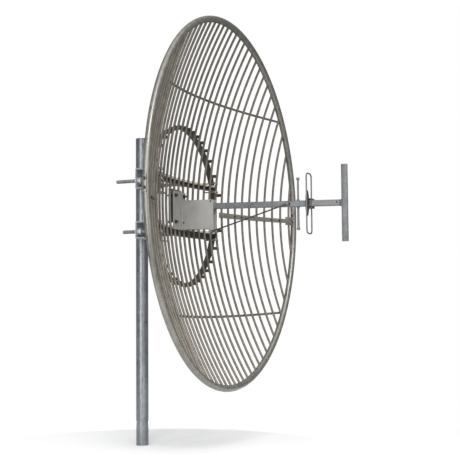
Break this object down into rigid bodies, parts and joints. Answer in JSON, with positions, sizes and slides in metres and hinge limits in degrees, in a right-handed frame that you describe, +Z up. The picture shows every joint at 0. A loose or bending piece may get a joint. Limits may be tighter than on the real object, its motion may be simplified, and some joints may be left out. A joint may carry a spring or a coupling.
{
  "type": "grid dish antenna",
  "caption": "Grid parabolic dish of bent steel rods in a round tube rim, with a folded dipole feed on a boom, clamped to an upright pipe mast.",
  "frame": {"origin": "centre of the mast's foot, on the bottom face of its plug", "axes": "+Z up along the mast, the dish looks along -Y, +X to the right as seen from in front of the dish"},
  "size_m": [1.8226, 1.1525, 2.065],
  "materials": {
    "galvanised": "hot-dip galvanised, dull with a soft bright band",
    "zinc_fittings": "zinc plated, slightly bright",
    "painted_frame": "weathered warm grey paint over galvanised steel",
    "grid_rods": "weathered warm grey paint over galvanised steel",
    "bracket": "light grey satin paint",
    "feed_metal": "dull anodised aluminium",
    "black_plastic": "moulded black insulator, matt",
    "clamp_plastic": "moulded dark brown plastic, matt",
    "dark_steel": "dark painted steel rod"
  },
  "bodies": {
    "root": {"boom_stay": "dark_steel", "dipole_clamp": "clamp_plastic", "dipole_insulator": "black_plastic", "director_rod": "feed_metal", "edge_rod_left_1": "grid_rods", "edge_rod_left_2": "grid_rods", "edge_rod_left_3": "grid_rods", "edge_rod_left_4": "grid_rods", "edge_rod_right_1": "grid_rods", "edge_rod_right_2": "grid_rods", "edge_rod_right_3": "grid_rods", "edge_rod_right_4": "grid_rods", "feed_back_plate": "bracket", "feed_boom": "feed_metal", "feed_bracket": "bracket", "folded_dipole": "feed_metal", "grid_strip_1": "grid_rods", "grid_strip_2": "grid_rods", "grid_strip_3": "grid_rods", "grid_strip_4": "grid_rods", "hub_hoop": "painted_frame", "lower_hub_bar": "painted_frame", "lower_mast_channel": "galvanised", "lower_stud_left": "zinc_fittings", "lower_stud_right": "zinc_fittings", "lower_u_bolt": "zinc_fittings", "mast_foot_plug": "galvanised", "mast_pipe": "galvanised", "mast_top_cap": "galvanised", "reflector_bar": "feed_metal", "rim_lower": "painted_frame", "rim_splice_inner_left": "painted_frame", "rim_splice_inner_right": "painted_frame", "rim_splice_outer_left": "painted_frame", "rim_splice_outer_right": "painted_frame", "rim_upper": "painted_frame", "strut_left": "painted_frame", "strut_right": "painted_frame", "upper_hub_bar": "painted_frame", "upper_mast_channel": "galvanised", "upper_stud_left": "zinc_fittings", "upper_stud_right": "zinc_fittings", "upper_u_bolt": "zinc_fittings"}
  },
  "joints": []
}
